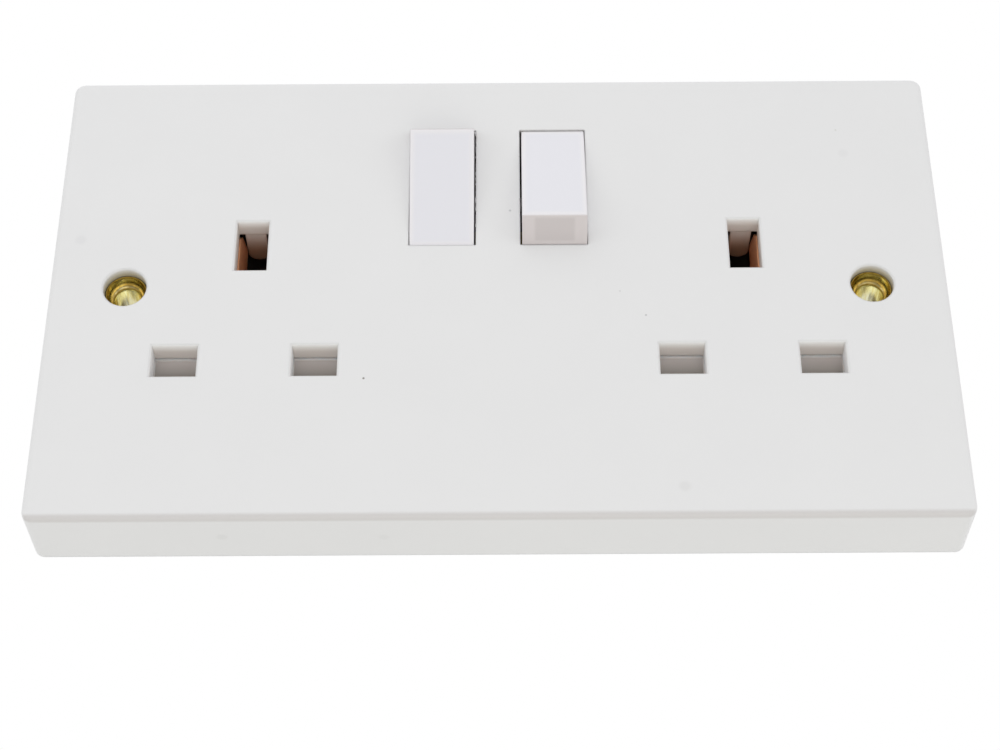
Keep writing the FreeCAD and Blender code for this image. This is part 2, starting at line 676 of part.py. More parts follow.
def shutter(x):
    """A shutter: two flaps on a stem, with the ramp that the earth pin pushes down."""
    flap_top = LIVE_Z + LIVE_SLOT_H / 2 + FLAP_OVER_SLOT
    flap_low = LIVE_Z - LIVE_SLOT_H / 2 - FLAP_UNDER_SLOT
    half_w = PIN_PITCH / 2 + LIVE_SLOT_W / 2 + 0.5
    stem_top = EARTH_Z - EARTH_SLOT_H / 2 - 0.5
    pin_low = EARTH_Z - EARTH_PIN_H / 2
    parts = [block(x - half_w, x + half_w, SHUTTER_FRONT, SHUTTER_REAR, flap_low, flap_top)]
    parts.append(pad(x, (flap_top + stem_top) / 2, STEM_W, stem_top - flap_top,
                     SHUTTER_FRONT, SHUTTER_REAR))
    ramp_top = pin_low + SHUTTER_TRAVEL
    start = SHUTTER_REAR + 0.8
    outline = [(SHUTTER_REAR - 1, stem_top), (start, pin_low), (RAMP_REACH - 1.2, ramp_top),
               (RAMP_REACH, ramp_top), (RAMP_REACH, ramp_top - 2.8), (9.4, 2.4),
               (SHUTTER_REAR, -2.0), (SHUTTER_REAR - 1, -2.0)]
    parts.append(side_profile(outline, x - RAMP_W / 2, x + RAMP_W / 2))
    return fused(parts)


def shutter_spring(x):
    """The return spring under a shutter."""
    middle = (SHUTTER_FRONT + SHUTTER_REAR) / 2
    return coil(x, middle, spring_foot_z(), SHUTTER_SPRING_R, SHUTTER_SPRING_L, 6, Vector(0, 0, 1))


# Rear moulding

def base_outline(inset, depth0, depth1):
    """The outline of the rear moulding, waisted where the box lugs are, drawn in by an inset."""
    outer = bevelled(pad(0, 0, BASE_W - 2 * inset, BASE_H - 2 * inset, depth0, depth1),
                     BASE_CORNER - inset / 2, along_y)
    waists = []
    for side in (-1, 1):
        middle = side * (BASE_WAIST_W / 2 - inset + BASE_WAIST_H / 2)
        waists.append(pad(middle, 0, BASE_WAIST_H, BASE_WAIST_H + 2 * inset, depth0, depth1))
    return outer.cut(waists)


def base_seats():
    """Ribs and posts that stand up from the rear wall to carry the metal pieces."""
    line_seat = LINE_BAR_DEPTH + BAR_T
    neutral_seat = NEUTRAL_BAR_DEPTH + BAR_T
    rear = BASE_INNER_REAR
    seats = []
    for x in SOCKETS.values():
        seats.append(pad(x, STRAP_Z, 5.0, 2.4, EARTH_BACK_DEPTH + BAR_T, rear))
    reach = CLIP_WEB_GAP + SEAT_INSET
    for x in (-SOCKET_X + PIN_PITCH / 2 + reach, -TERMINAL_PITCH, SOCKET_X + PIN_PITCH / 2 - reach):
        seats.append(pad(x, 4.0, 1.6, 9.0, line_seat, rear))
    for x in SWITCHES.values():
        seats.append(pad(x, ROCKER_Z, 6.0, 1.6, line_seat, rear))
        seats.append(pad(x, ROCKER_Z + TIP_Z, 3.0, 1.6, line_seat, rear))
    bar_left = -SOCKET_X - PIN_PITCH / 2 + CLIP_WEB_GAP
    bar_right = SOCKET_X - PIN_PITCH / 2 - CLIP_WEB_GAP
    for x in (bar_left + 2 * SEAT_INSET, -5.0, bar_right - 2 * SEAT_INSET):
        seats.append(pad(x, LIVE_Z, 1.6, 6.0, neutral_seat, rear))
    return seats


def terminal_bays():
    """Walls that part the three terminals, and the ledges that they stand on."""
    bays = []
    for x in (-1.5, -0.5, 0.5, 1.5):
        middle = x * TERMINAL_PITCH
        bays.append(pad(middle, TERMINAL_BOTTOM_Z + 4.4, 1.4, 9.8, BAY_DEPTH, BASE_INNER_REAR))
    for x in (-TERMINAL_PITCH, 0, TERMINAL_PITCH):
        for side in (-1, 1):
            bays.append(pad(x + side * 3.9, terminal_screw_z(), 1.2, 7.0, TERMINAL_REAR, BASE_INNER_REAR))
    return bays


def base_moulding():
    """The rear moulding: a waisted tray with seats for the contacts and terminals."""
    tray = base_outline(0, BASE_RIM_DEPTH, BASE_REAR_DEPTH)
    tray = bevelled(tray, BASE_BEVEL, lambda edge: on_depth(edge, BASE_REAR_DEPTH))
    tray = tray.cut(base_outline(BASE_WALL, BASE_RIM_DEPTH - 1, BASE_INNER_REAR))
    added = base_seats() + terminal_bays()
    for x, z in COVER_SCREWS:
        added.append(pad(x, z, BASE_POST_W, BASE_POST_W, POST_JOINT_DEPTH, BASE_INNER_REAR))
    cutters = []
    for x, z in COVER_SCREWS:
        cutters.append(rod(x, z, COVER_SCREW_R + FIT, BASE_RIM_DEPTH, BASE_REAR_DEPTH + 1))
        cutters.append(rod(x, z, COVER_HEAD_R + 2 * FIT, BASE_REAR_DEPTH - COVER_HEAD_T - 2 * FIT,
                           BASE_REAR_DEPTH + 1))
    bottom = -BASE_H / 2
    for x in (-TERMINAL_PITCH, 0, TERMINAL_PITCH):
        cutters.append(rod(x, terminal_screw_z(), TERMINAL_SCREW_R + 3 * FIT, BASE_INNER_REAR - 1,
                           BASE_REAR_DEPTH + 1))
        cutters.append(pad(x, bottom, CABLE_NOTCH_W, 4.0, TERMINAL_BORE_DEPTH - CABLE_NOTCH_W / 2,
                           TERMINAL_BORE_DEPTH + CABLE_NOTCH_W / 2))
    for x in OPENINGS:
        cutters.append(pad(x, ROCKER_Z, HOUSING_W + 2 * SWITCH_NOTCH_GAP, HOUSING_H + 2 * SWITCH_NOTCH_GAP,
                           BASE_RIM_DEPTH - 1, HOUSING_DEPTH + SWITCH_NOTCH_GAP))
    notch = STRAP_W + 1.0
    for side in (-1, 1):
        cutters.append(pad(side * BASE_WAIST_W / 2, 0, 8.0, notch, BASE_RIM_DEPTH - 1,
                           STRAP_DEPTH + BAR_T))
    return tray.fuse(added).cut(cutters).removeSplitter()


def cover_screws():
    """The screws that hold the rear moulding to the front plate, as one group."""
    screws = []
    for x, z in COVER_SCREWS:
        head = BASE_REAR_DEPTH - COVER_HEAD_T - FIT
        shank = rod(x, z, COVER_SCREW_R, COVER_SCREW_TIP_DEPTH, head)
        screws.append(fused([shank, slotted_rod(x, z, COVER_HEAD_R, head, BASE_REAR_DEPTH - FIT)]))
    return Part.makeCompound(screws)


def pieces():
    """Every piece by its name."""
    made = {
        "front_plate": front_plate(),
        "base_moulding": base_moulding(),
        "cover_screws": cover_screws(),
        "earth_strap": earth_strap(),
        "line_supply_bar": line_supply_bar(),
        "neutral_bar": neutral_bar(),
        "line_terminal": terminal(-TERMINAL_PITCH, TERMINAL_FRONT),
        "earth_terminal": terminal(0, STRAP_DEPTH + BAR_T),
        "neutral_terminal": terminal(TERMINAL_PITCH, TERMINAL_FRONT),
        "line_terminal_screw": terminal_screw(-TERMINAL_PITCH),
        "earth_terminal_screw": terminal_screw(0),
        "neutral_terminal_screw": terminal_screw(TERMINAL_PITCH),
    }
    tilts = {"left": ROCKER_TILT, "right": -ROCKER_TILT}
    for side in ("left", "right"):
        tilt = tilts[side]
        blade_tilt = -tilt * BLADE_TILT / ROCKER_TILT
        sign = -1 if side == "left" else 1
        made["eyelet_" + side] = eyelet(sign * FIXING_SPACING / 2)
        made["earth_contact_" + side] = earth_contact(SOCKETS[side])
        made["line_contact_" + side] = line_contact(side)
        made["shutter_" + side] = shutter(SOCKETS[side])
        made["shutter_spring_" + side] = shutter_spring(SOCKETS[side])
        made["rocker_" + side] = rocker(SWITCHES[side], tilt)
        made["plunger_" + side] = plunger(SWITCHES[side], tilt)
        made["switch_spring_" + side] = switch_spring(SWITCHES[side], tilt)
        made["switch_blade_" + side] = switch_blade(SWITCHES[side], blade_tilt)
    return made


os.makedirs("parts", exist_ok=True)
for name, shape in pieces().items():
    print(name, "solids", len(shape.Solids), "volume", round(shape.Volume, 2), shape.isValid())
    shape.exportStep("parts/" + name + ".step")
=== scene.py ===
import math

import bpy
import numpy as np
from mathutils import Matrix, Vector


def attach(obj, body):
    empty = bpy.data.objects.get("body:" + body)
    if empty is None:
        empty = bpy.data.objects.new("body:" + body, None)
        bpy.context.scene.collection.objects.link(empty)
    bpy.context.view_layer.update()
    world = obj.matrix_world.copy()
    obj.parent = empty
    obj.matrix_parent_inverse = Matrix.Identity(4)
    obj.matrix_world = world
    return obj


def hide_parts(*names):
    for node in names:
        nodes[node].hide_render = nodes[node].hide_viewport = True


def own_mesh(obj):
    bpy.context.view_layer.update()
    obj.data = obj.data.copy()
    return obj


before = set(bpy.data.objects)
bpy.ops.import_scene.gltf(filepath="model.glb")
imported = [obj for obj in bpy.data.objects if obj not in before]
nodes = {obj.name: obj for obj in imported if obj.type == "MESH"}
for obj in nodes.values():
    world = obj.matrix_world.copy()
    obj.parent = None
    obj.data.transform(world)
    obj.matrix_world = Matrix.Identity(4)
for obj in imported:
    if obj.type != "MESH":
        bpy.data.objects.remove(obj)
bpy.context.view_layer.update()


# Camera: it looks up at the plate from below, as the photograph does of the plate on a table.
# The lens and place come from the corners of the plate and the spacing of its holes.
camera_data = bpy.data.cameras.new("camera")
camera_data.sensor_width = 36.0
camera_data.lens = 78.418
camera_data.clip_start = 0.01
camera = bpy.data.objects.new("camera", camera_data)
bpy.context.scene.collection.objects.link(camera)
camera.matrix_world = (Matrix.Translation((0.00135, -0.30196, -0.19921))
                       @ Matrix.Rotation(math.radians(0.2216), 4, "Z")
                       @ Matrix.Rotation(math.radians(122.141), 4, "X")
                       @ Matrix.Rotation(math.radians(-0.212), 4, "Z"))
bpy.context.scene.camera = camera
bpy.context.scene.view_settings.view_transform = "Standard"


# Light: a white room, brighter to the camera, mirrors and glass than to matt surfaces, and four
# large soft lamps: one above the camera, one below it and one at each side.
world = bpy.data.worlds.new("white room")
world.use_nodes = True
bpy.context.scene.world = world
tree = world.node_tree
tree.nodes.clear()
light_path = tree.nodes.new("ShaderNodeLightPath")
camera_or_glossy = tree.nodes.new("ShaderNodeMath")
camera_or_glossy.operation = "MAXIMUM"
tree.links.new(light_path.outputs["Is Camera Ray"], camera_or_glossy.inputs[0])
tree.links.new(light_path.outputs["Is Glossy Ray"], camera_or_glossy.inputs[1])
seen = tree.nodes.new("ShaderNodeMath")
seen.operation = "MAXIMUM"
tree.links.new(camera_or_glossy.outputs[0], seen.inputs[0])
tree.links.new(light_path.outputs["Is Transmission Ray"], seen.inputs[1])
shown = tree.nodes.new("ShaderNodeBackground")
shown.inputs["Color"].default_value = (1.0, 1.0, 1.0, 1.0)
shown.inputs["Strength"].default_value = 1.0
lighting = tree.nodes.new("ShaderNodeBackground")
lighting.inputs["Color"].default_value = (0.995, 0.995, 1.0, 1.0)
lighting.inputs["Strength"].default_value = 0.78
choose = tree.nodes.new("ShaderNodeMixShader")
tree.links.new(seen.outputs[0], choose.inputs["Fac"])
tree.links.new(lighting.outputs[0], choose.inputs[1])
tree.links.new(shown.outputs[0], choose.inputs[2])
world_output = tree.nodes.new("ShaderNodeOutputWorld")
tree.links.new(choose.outputs[0], world_output.inputs["Surface"])

for lamp_name, place, width, power, tint in (
        ("upper lamp", (-0.20, -0.55, 0.80), 0.8, 1.25, (1.0, 1.0, 1.0)),
        ("lower lamp", (0.05, -0.15, -0.42), 0.4, 0.38, (1.0, 0.96, 0.86)),
        ("left lamp", (-0.75, -0.50, 0.05), 0.6, 0.75, (0.985, 0.99, 1.0)),
        ("right lamp", (0.75, -0.50, 0.05), 0.6, 0.75, (0.985, 0.99, 1.0))):
    lamp_data = bpy.data.lights.new(lamp_name, "AREA")
    lamp_data.shape = "SQUARE"
    lamp_data.size = width
    lamp_data.energy = power
    lamp_data.color = tint
    lamp = bpy.data.objects.new(lamp_name, lamp_data)
    bpy.context.scene.collection.objects.link(lamp)
    lamp.matrix_world = (Matrix.Translation(place)
                         @ Vector(place).to_track_quat("Z", "Y").to_matrix().to_4x4())


# Floor: pale and wide, well below the plate, because the plate is fixed to a wall.
half_width = 3.0
floor_z = -0.45
floor_mesh = bpy.data.meshes.new("floor")
floor_mesh.from_pydata([(-half_width, -half_width, floor_z), (half_width, -half_width, floor_z),
                        (half_width, half_width, floor_z), (-half_width, half_width, floor_z)],
                       [], [(0, 1, 2, 3)])
floor = bpy.data.objects.new("floor", floor_mesh)
bpy.context.scene.collection.objects.link(floor)
floor_material = bpy.data.materials.new("pale floor")
floor_material.use_nodes = True
paint = floor_material.node_tree.nodes["Principled BSDF"]
paint.inputs["Base Color"].default_value = (0.92, 0.92, 0.90, 1.0)
paint.inputs["Roughness"].default_value = 0.8
floor_mesh.materials.append(floor_material)


# Front plate: white thermoset with a satin skin, moulded in one piece with its rim and slots. The
# moulded edges are a little soft, and the plate's colour is laid on in steps, each with its own
# comment below. Sizes are in metres, from the wall plane and the middle of the plate.
face_y = -0.0122
rim_z = -0.0425
hole_x = 0.0603
white = bpy.data.materials.new("white moulding")
white.use_nodes = True
tree = white.node_tree
plastic = tree.nodes["Principled BSDF"]
plastic.inputs["Roughness"].default_value = 0.38
coordinates = tree.nodes.new("ShaderNodeTexCoord")
cloud = tree.nodes.new("ShaderNodeTexNoise")
cloud.inputs["Scale"].default_value = 70.0
cloud.inputs["Detail"].default_value = 3.0
tree.links.new(coordinates.outputs["Object"], cloud.inputs["Vector"])
skin = tree.nodes.new("ShaderNodeMix")
skin.data_type = "RGBA"
skin.inputs["A"].default_value = (0.780, 0.781, 0.786, 1.0)
skin.inputs["B"].default_value = (0.756, 0.757, 0.763, 1.0)
tree.links.new(cloud.outputs["Fac"], skin.inputs["Factor"])
folded = tree.nodes.new("ShaderNodeVectorMath")
folded.operation = "ABSOLUTE"
tree.links.new(coordinates.outputs["Object"], folded.inputs[0])
apart = tree.nodes.new("ShaderNodeSeparateXYZ")
tree.links.new(folded.outputs["Vector"], apart.inputs["Vector"])
within = []
for axis, reach in (("X", 0.0560), ("Z", 0.0320)):
    inside = tree.nodes.new("ShaderNodeMath")
    inside.operation = "LESS_THAN"
    inside.inputs[1].default_value = reach
    tree.links.new(apart.outputs[axis], inside.inputs[0])
    within.append(inside.outputs["Value"])
enclosed = tree.nodes.new("ShaderNodeMath")
enclosed.operation = "MULTIPLY"
tree.links.new(within[0], enclosed.inputs[0])
tree.links.new(within[1], enclosed.inputs[1])
shade = skin.outputs["Result"]
# Inside the holes, light and shade painted by depth: painted light, pale at the mouth as from light
# in the plastic, then a warmer painted shade, and a brown painted shade with copper-coloured
# reflected light at the rear.
for start, end, painted_depth_tone in ((0.01215, 0.0118, (0.945, 0.940, 0.930, 1.0)),
                           (0.0120, 0.0100, (0.74, 0.69, 0.65, 1.0)),
                           (0.0088, 0.0030, (0.34, 0.22, 0.14, 1.0))):
    deeper = tree.nodes.new("ShaderNodeMapRange")
    deeper.interpolation_type = "SMOOTHSTEP"
    deeper.inputs["From Min"].default_value = start
    deeper.inputs["From Max"].default_value = end
    tree.links.new(apart.outputs["Y"], deeper.inputs["Value"])
    masked = tree.nodes.new("ShaderNodeMath")
    masked.operation = "MULTIPLY"
    tree.links.new(deeper.outputs["Result"], masked.inputs[0])
    tree.links.new(enclosed.outputs["Value"], masked.inputs[1])
    depth_shaded = tree.nodes.new("ShaderNodeMix")
    depth_shaded.data_type = "RGBA"
    depth_shaded.inputs["B"].default_value = painted_depth_tone
    tree.links.new(masked.outputs["Value"], depth_shaded.inputs["Factor"])
    tree.links.new(shade, depth_shaded.inputs["A"])
    shade = depth_shaded.outputs["Result"]
# Painted shade near the brass in the two fixing holes, olive from the brass's reflected light.
flattened = tree.nodes.new("ShaderNodeVectorMath")
flattened.operation = "MULTIPLY"
flattened.inputs[1].default_value = (1.0, 0.0, 1.0)
tree.links.new(folded.outputs["Vector"], flattened.inputs[0])
from_hole = tree.nodes.new("ShaderNodeVectorMath")
from_hole.operation = "DISTANCE"
from_hole.inputs[1].default_value = (hole_x, 0.0, 0.0)
tree.links.new(flattened.outputs["Vector"], from_hole.inputs[0])
in_hole = tree.nodes.new("ShaderNodeMath")
in_hole.operation = "LESS_THAN"
in_hole.inputs[1].default_value = 0.0040
tree.links.new(from_hole.outputs["Value"], in_hole.inputs[0])
near_brass = tree.nodes.new("ShaderNodeMapRange")
near_brass.interpolation_type = "SMOOTHSTEP"
near_brass.inputs["From Min"].default_value = 0.0120
near_brass.inputs["From Max"].default_value = 0.0105
tree.links.new(apart.outputs["Y"], near_brass.inputs["Value"])
tinted = tree.nodes.new("ShaderNodeMath")
tinted.operation = "MULTIPLY"
tree.links.new(near_brass.outputs["Result"], tinted.inputs[0])
tree.links.new(in_hole.outputs["Value"], tinted.inputs[1])
brass_tinted_shade = tree.nodes.new("ShaderNodeMix")
brass_tinted_shade.data_type = "RGBA"
brass_tinted_shade.inputs["B"].default_value = (0.52, 0.48, 0.37, 1.0)
tree.links.new(tinted.outputs["Value"], brass_tinted_shade.inputs["Factor"])
tree.links.new(shade, brass_tinted_shade.inputs["A"])
shade = brass_tinted_shade.outputs["Result"]
# The side walls of the line and neutral slots catch light from the side and look paler.
geometry = tree.nodes.new("ShaderNodeNewGeometry")
facing = tree.nodes.new("ShaderNodeVectorMath")
facing.operation = "ABSOLUTE"
tree.links.new(geometry.outputs["Normal"], facing.inputs[0])
facing_apart = tree.nodes.new("ShaderNodeSeparateXYZ")
tree.links.new(facing.outputs["Vector"], facing_apart.inputs["Vector"])
side_wall = tree.nodes.new("ShaderNodeMapRange")
side_wall.inputs["From Min"].default_value = 0.75
side_wall.inputs["From Max"].default_value = 0.95
tree.links.new(facing_apart.outputs["X"], side_wall.inputs["Value"])
in_mouth = tree.nodes.new("ShaderNodeMapRange")
in_mouth.inputs["From Min"].default_value = 0.0121
in_mouth.inputs["From Max"].default_value = 0.0112
tree.links.new(apart.outputs["Y"], in_mouth.inputs["Value"])
unfolded = tree.nodes.new("ShaderNodeSeparateXYZ")
tree.links.new(coordinates.outputs["Object"], unfolded.inputs["Vector"])
low_slots = tree.nodes.new("ShaderNodeMath")
low_slots.operation = "LESS_THAN"
low_slots.inputs[1].default_value = -0.008
tree.links.new(unfolded.outputs["Z"], low_slots.inputs[0])
side_lit = enclosed.outputs["Value"]
for part_mask in (side_wall.outputs["Result"], in_mouth.outputs["Result"],
                  low_slots.outputs["Value"]):
    both = tree.nodes.new("ShaderNodeMath")
    both.operation = "MULTIPLY"
    tree.links.new(side_lit, both.inputs[0])
    tree.links.new(part_mask, both.inputs[1])
    side_lit = both.outputs["Value"]
paler = tree.nodes.new("ShaderNodeMix")
paler.data_type = "RGBA"
paler.inputs["B"].default_value = (0.93, 0.940, 0.955, 1.0)
tree.links.new(side_lit, paler.inputs["Factor"])
tree.links.new(shade, paler.inputs["A"])
shade = paler.outputs["Result"]
# The lower edge of the face is darker grey along its fillet.
sideways = tree.nodes.new("ShaderNodeVectorMath")
sideways.operation = "MULTIPLY"
sideways.inputs[1].default_value = (0.0, 1.0, 1.0)
tree.links.new(coordinates.outputs["Object"], sideways.inputs[0])
from_edge = tree.nodes.new("ShaderNodeVectorMath")
from_edge.operation = "DISTANCE"
from_edge.inputs[1].default_value = (0.0, -0.0119, -0.0422)
tree.links.new(sideways.outputs["Vector"], from_edge.inputs[0])
edge_fade = tree.nodes.new("ShaderNodeMapRange")
edge_fade.interpolation_type = "SMOOTHSTEP"
edge_fade.inputs["From Min"].default_value = 0.0003
edge_fade.inputs["From Max"].default_value = 0.0010
edge_fade.inputs["To Min"].default_value = 0.55
edge_fade.inputs["To Max"].default_value = 0.0
tree.links.new(from_edge.outputs["Value"], edge_fade.inputs["Value"])
darker_edge = tree.nodes.new("ShaderNodeMix")
darker_edge.data_type = "RGBA"
darker_edge.inputs["B"].default_value = (0.53, 0.50, 0.49, 1.0)
tree.links.new(edge_fade.outputs["Result"], darker_edge.inputs["Factor"])
tree.links.new(shade, darker_edge.inputs["A"])
shade = darker_edge.outputs["Result"]
# Sink marks on the face and on the lower wall of the rim, painted as the grey shade of their
# shallow dents, then the small specks on the face, which are the plastic's own colour.
for place, radius, strength, tint in (
        ((-0.06828, face_y, 0.00941), 0.00125, 0.22, (0.60, 0.60, 0.62, 1.0)),
        ((0.05787, face_y, 0.02641), 0.00115, 0.16, (0.60, 0.60, 0.61, 1.0)),
        ((0.02831, face_y, -0.03729), 0.00125, 0.24, (0.60, 0.59, 0.59, 1.0)),
        ((-0.04249, -0.0063, rim_z), 0.00120, 0.20, (0.55, 0.55, 0.54, 1.0)),
        ((-0.01767, -0.0060, rim_z), 0.00110, 0.14, (0.55, 0.55, 0.54, 1.0)),
        ((-0.02121, face_y, -0.01761), 0.00026, 0.95, (0.20, 0.18, 0.17, 1.0)),
        ((0.00198, face_y, 0.01487), 0.00030, 0.55, (0.36, 0.37, 0.38, 1.0)),
        ((0.05703, face_y, 0.03131), 0.00024, 0.45, (0.55, 0.54, 0.48, 1.0)),
        ((0.01959, face_y, -0.00132), 0.00026, 0.35, (0.48, 0.48, 0.48, 1.0)),
        ((0.02359, face_y, -0.00599), 0.00024, 0.60, (0.34, 0.34, 0.35, 1.0))):
    away = tree.nodes.new("ShaderNodeVectorMath")
    away.operation = "DISTANCE"
    away.inputs[1].default_value = place
    tree.links.new(coordinates.outputs["Object"], away.inputs[0])
    fade = tree.nodes.new("ShaderNodeMapRange")
    fade.interpolation_type = "SMOOTHSTEP"
    fade.inputs["From Min"].default_value = radius * 0.35
    fade.inputs["From Max"].default_value = radius
    fade.inputs["To Min"].default_value = strength
    fade.inputs["To Max"].default_value = 0.0
    tree.links.new(away.outputs["Value"], fade.inputs["Value"])
    speck_and_dent_shade = tree.nodes.new("ShaderNodeMix")
    speck_and_dent_shade.data_type = "RGBA"
    speck_and_dent_shade.inputs["B"].default_value = tint
    tree.links.new(fade.outputs["Result"], speck_and_dent_shade.inputs["Factor"])
    tree.links.new(shade, speck_and_dent_shade.inputs["A"])
    shade = speck_and_dent_shade.outputs["Result"]
tree.links.new(shade, plastic.inputs["Base Color"])
soft_edge = tree.nodes.new("ShaderNodeBevel")
soft_edge.samples = 6
soft_edge.inputs["Radius"].default_value = 0.00045
tree.links.new(soft_edge.outputs["Normal"], plastic.inputs["Normal"])
nodes["front_plate"].data.materials.clear()
nodes["front_plate"].data.materials.append(white)


# Flash: a ragged film that the mould left along the right edge of the left rocker's opening. It is
# part of the white moulding, makes the gap beside the rocker uneven and nearly closes its top.
slices = 150
last_slice = slices - 1
heights = np.linspace(0.0116, 0.0315, slices)
bends = heights[::3]
wander = np.random.default_rng(5)
waves = np.interp(heights, bends, wander.random(len(bends)))
widths = 0.00015 * np.clip(waves - 0.35, 0.0, 1.0)
widths = widths + 0.00002 * wander.random(slices)
widths = widths + 0.00018 * np.clip((heights - 0.0303) / 0.0005, 0.0, 1.0)
opening_edge = -0.00365
corners = []
for height, width in zip(heights, widths):
    for along_x in (opening_edge + 0.00004, opening_edge - width):
        for along_y in (-0.01215, -0.01208):
            corners.append((along_x, along_y, height))
faces = [(0, 1, 3, 2), tuple(4 * last_slice + corner for corner in (0, 2, 3, 1))]
for step in range(last_slice):
    low = 4 * step
    high = low + 4
    faces += [(low, low + 2, high + 2, high), (low + 1, high + 1, high + 3, low + 3),
              (low, high, high + 1, low + 1), (low + 2, low + 3, high + 3, high + 2)]
flash_mesh = bpy.data.meshes.new("moulding_flash")
flash_mesh.from_pydata(corners, [], faces)
flash_mesh.materials.append(white)
flash = bpy.data.objects.new("moulding_flash", flash_mesh)
bpy.context.scene.collection.objects.link(flash)
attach(flash, "housing")


# Rockers: a cooler white than the plate and a little glossier. The edges of the pressed face let
# light through and look paler. The ends are painted greyer as shade, with a darker patch of painted
# shade where the wall is thin and the hollow inside shows through.
rocker_x = 0.00925
pivot_y = -0.0071
pivot_z = 0.0198
rest_tilt = 12.0
for side, centre, tilt in (("left", -rocker_x, rest_tilt), ("right", rocker_x, -rest_tilt)):
    cool_white = bpy.data.materials.new("rocker white " + side)
    cool_white.use_nodes = True
    tree = cool_white.node_tree
    plastic = tree.nodes["Principled BSDF"]
    plastic.inputs["Roughness"].default_value = 0.30
    coordinates = tree.nodes.new("ShaderNodeTexCoord")
    level = tree.nodes.new("ShaderNodeMapping")
    level.vector_type = "TEXTURE"
    level.inputs["Location"].default_value = (centre, pivot_y, pivot_z)
    level.inputs["Rotation"].default_value = (math.radians(tilt), 0.0, 0.0)
    tree.links.new(coordinates.outputs["Object"], level.inputs["Vector"])
    folded = tree.nodes.new("ShaderNodeVectorMath")
    folded.operation = "ABSOLUTE"
    tree.links.new(level.outputs["Vector"], folded.inputs[0])
    apart = tree.nodes.new("ShaderNodeSeparateXYZ")
    tree.links.new(folded.outputs["Vector"], apart.inputs["Vector"])
    masks = {}
    for mask_name, axis, low, high in (
            ("side", "X", 0.0042, 0.0051),
            ("tip", "Z", 0.0094, 0.0104),
            ("end", "Z", 0.01050, 0.01075),
            ("patch side", "X", 0.0036, 0.0029),
            ("patch top", "Y", 0.00700, 0.00655),
            ("patch foot", "Y", 0.0029, 0.0034)):
        mask = tree.nodes.new("ShaderNodeMapRange")
        mask.interpolation_type = "SMOOTHSTEP"
        mask.inputs["From Min"].default_value = low
        mask.inputs["From Max"].default_value = high
        tree.links.new(apart.outputs[axis], mask.inputs["Value"])
        masks[mask_name] = mask.outputs["Result"]
    rim = tree.nodes.new("ShaderNodeMath")
    rim.operation = "MAXIMUM"
    tree.links.new(masks["side"], rim.inputs[0])
    tree.links.new(masks["tip"], rim.inputs[1])
    patch_band = tree.nodes.new("ShaderNodeMath")
    patch_band.operation = "MULTIPLY"
    tree.links.new(masks["patch top"], patch_band.inputs[0])
    tree.links.new(masks["patch foot"], patch_band.inputs[1])
    patch = tree.nodes.new("ShaderNodeMath")
    patch.operation = "MULTIPLY"
    tree.links.new(patch_band.outputs["Value"], patch.inputs[0])
    tree.links.new(masks["patch side"], patch.inputs[1])
    face = tree.nodes.new("ShaderNodeMix")
    face.data_type = "RGBA"
    face.inputs["A"].default_value = (0.770, 0.768, 0.815, 1.0)
    face.inputs["B"].default_value = (0.815, 0.800, 0.825, 1.0)
    tree.links.new(rim.outputs["Value"], face.inputs["Factor"])
    # Painted shade on the ends, darker in the patch.
    end = tree.nodes.new("ShaderNodeMix")
    end.data_type = "RGBA"
    end.inputs["A"].default_value = (0.625, 0.580, 0.580, 1.0)
    end.inputs["B"].default_value = (0.560, 0.518, 0.518, 1.0)
    tree.links.new(patch.outputs["Value"], end.inputs["Factor"])
    whole = tree.nodes.new("ShaderNodeMix")
    whole.data_type = "RGBA"
    tree.links.new(masks["end"], whole.inputs["Factor"])
    tree.links.new(face.outputs["Result"], whole.inputs["A"])
    tree.links.new(end.outputs["Result"], whole.inputs["B"])
    tree.links.new(whole.outputs["Result"], plastic.inputs["Base Color"])
    nodes["rocker_" + side].data.materials.clear()
    nodes["rocker_" + side].data.materials.append(cool_white)
